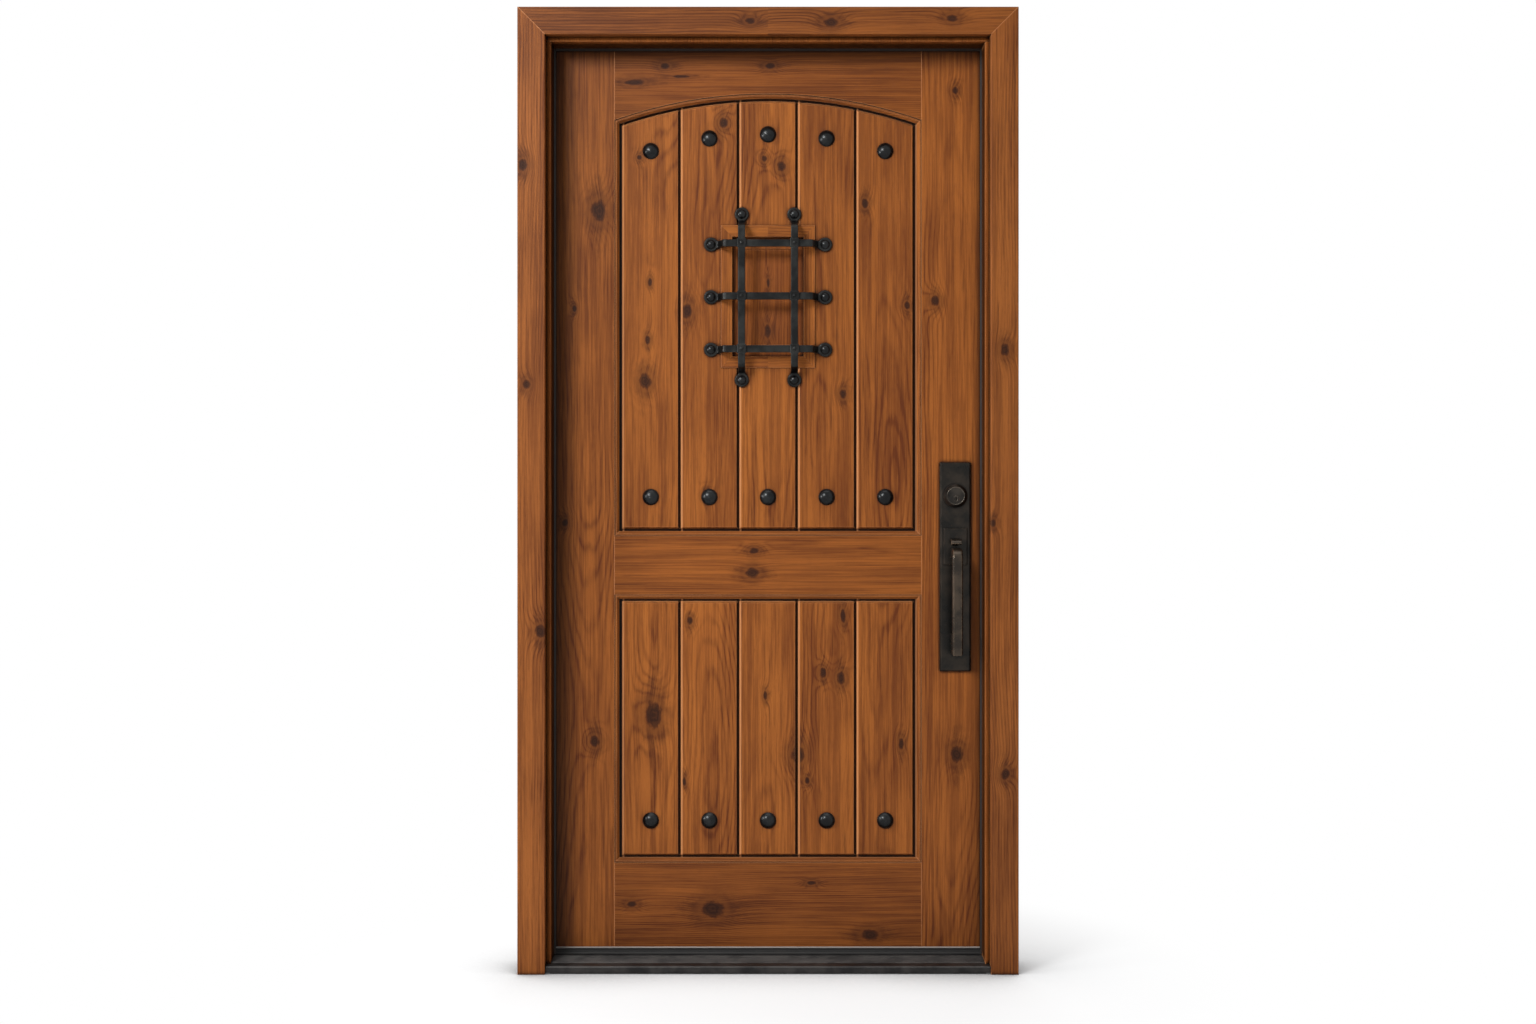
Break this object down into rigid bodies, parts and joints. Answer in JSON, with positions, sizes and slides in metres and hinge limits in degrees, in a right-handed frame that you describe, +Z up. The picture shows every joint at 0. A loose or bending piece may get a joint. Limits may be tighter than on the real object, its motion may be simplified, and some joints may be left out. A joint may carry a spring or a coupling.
{
  "type": "wooden front door",
  "caption": "Knotty plank entry door with arched upper panel, grilled viewing door, domed nails and full-plate handle set, hung in a frame with stops, casings and metal sill.",
  "frame": {"origin": "middle of the sill's foot, in the plane of the jambs' outer edges", "axes": "+X to the right seen from outside, +Y inwards to the room, +Z up"},
  "size_m": [1.099, 0.1968, 2.1215],
  "materials": {
    "casing_side_wood": "stained, satin varnish",
    "casing_head_wood": "stained, satin varnish",
    "jamb_side_wood": "stained, satin varnish",
    "jamb_head_wood": "stained, satin varnish",
    "stop_wood": "stained, satin varnish",
    "stile_wood": "stained, satin varnish",
    "rail_wood": "stained, satin varnish",
    "plank_wood": "stained, satin varnish",
    "viewer_frame_wood": "stained, satin varnish",
    "viewer_door_wood": "stained, satin varnish",
    "seal_rubber": "soft matte",
    "sweep_rubber": "soft matte",
    "sill_substrate": "dull",
    "sill_metal": "dark bronze anodised",
    "sill_cap_wood": "dark stained",
    "hinge_bronze": "oil-rubbed bronze",
    "screw_bronze": "oil-rubbed bronze",
    "lock_steel": "dull",
    "nail_iron": "black, lightly hammered",
    "grille_iron": "black, forged",
    "handle_bronze": "oil-rubbed bronze, satin",
    "inside_bronze": "oil-rubbed bronze, satin"
  },
  "bodies": {
    "frame": {"hinge_jamb": "jamb_side_wood", "strike_jamb": "jamb_side_wood", "strike_insert": "jamb_side_wood", "head_jamb": "jamb_head_wood", "door_stops": "stop_wood", "casing_left": "casing_side_wood", "casing_right": "casing_side_wood", "casing_head": "casing_head_wood", "weatherstrip": "seal_rubber", "sill_base": "sill_substrate", "sill_deck": "sill_metal", "sill_cap": "sill_cap_wood", "hinge_frame_leaves": "hinge_bronze", "hinge_pins": "hinge_bronze", "frame_screws": "screw_bronze", "strike_plates": "lock_steel"},
    "door": {"hinge_stile": "stile_wood", "lock_stile": "stile_wood", "top_rail": "rail_wood", "mid_rail": "rail_wood", "bottom_rail": "rail_wood", "lower_plank_1": "plank_wood", "lower_plank_2": "plank_wood", "lower_plank_3": "plank_wood", "lower_plank_4": "plank_wood", "lower_plank_5": "plank_wood", "upper_plank_1": "plank_wood", "upper_plank_2": "plank_wood", "upper_plank_3": "plank_wood", "upper_plank_4": "plank_wood", "upper_plank_5": "plank_wood", "clavos": "nail_iron", "door_sweep": "sweep_rubber", "hinge_door_leaves": "hinge_bronze", "door_screws": "screw_bronze", "viewer_frame": "viewer_frame_wood", "viewer_inner_trim": "viewer_frame_wood", "viewer_frame_leaves": "hinge_bronze", "grille_bar_left": "grille_iron", "grille_bar_right": "grille_iron", "grille_bar_top": "grille_iron", "grille_bar_middle": "grille_iron", "grille_bar_bottom": "grille_iron", "grille_nails": "nail_iron", "grille_rivets": "grille_iron", "handle_plate": "handle_bronze", "latch_plate": "handle_bronze", "grip_handle": "handle_bronze", "cylinder_housing": "handle_bronze", "bolt_cases": "lock_steel", "inside_plate": "inside_bronze"},
    "viewing_door": {"viewer_door": "viewer_door_wood", "viewer_door_leaves": "hinge_bronze", "viewer_pull": "nail_iron"},
    "thumb": {"thumb_piece": "handle_bronze"},
    "plug": {"cylinder_plug": "handle_bronze"},
    "turn_piece": {"thumbturn": "inside_bronze"},
    "lever": {"inside_lever": "inside_bronze"},
    "deadbolt": {"deadbolt": "lock_steel"},
    "latch": {"latch_bolt": "lock_steel"}
  },
  "joints": [
    {"name": "door_swing", "type": "hinge", "parent": "frame", "child": "door", "pos_m": [-0.4905, 0.125, 1], "axis": [0, 0, 1], "range_deg": [0, 110]},
    {"name": "viewing_door_swing", "type": "hinge", "parent": "door", "child": "viewing_door", "pos_m": [-0.086, 0.1145, 1.4976], "axis": [0, 0, 1], "range_deg": [0, 105]},
    {"name": "lever_turn", "type": "hinge", "parent": "door", "child": "lever", "pos_m": [0.419, 0.122, 0.925], "axis": [0, -1, 0], "range_deg": [0, 45], "stiffness_Nm_per_rad": 1, "springref_deg": -40.11},
    {"name": "thumb_press", "type": "hinge", "parent": "door", "child": "thumb", "pos_m": [0.419, 0.067, 0.948], "axis": [1, 0, 0], "range_deg": [0, 10]},
    {"name": "latch_slide", "type": "slide", "parent": "door", "child": "latch", "axis": [-1, 0, 0], "range_m": [0, 0.012]},
    {"name": "turn_piece_turn", "type": "hinge", "parent": "door", "child": "turn_piece", "pos_m": [0.4205, 0.122, 1.044], "axis": [0, 1, 0], "range_deg": [0, 90]},
    {"name": "plug_turn", "type": "hinge", "parent": "door", "child": "plug", "pos_m": [0.4205, 0.063, 1.044], "axis": [0, 1, 0], "range_deg": [0, 90]},
    {"name": "deadbolt_throw", "type": "slide", "parent": "door", "child": "deadbolt", "axis": [1, 0, 0], "range_m": [0, 0.0254]}
  ],
  "couplings": [
    {"joint": "thumb_press", "follows": "lever_turn", "ratio": 0.22222},
    {"joint": "latch_slide", "follows": "lever_turn", "m_per_rad": 0.01527},
    {"joint": "plug_turn", "follows": "turn_piece_turn", "ratio": 1},
    {"joint": "deadbolt_throw", "follows": "turn_piece_turn", "m_per_rad": 0.01617}
  ]
}
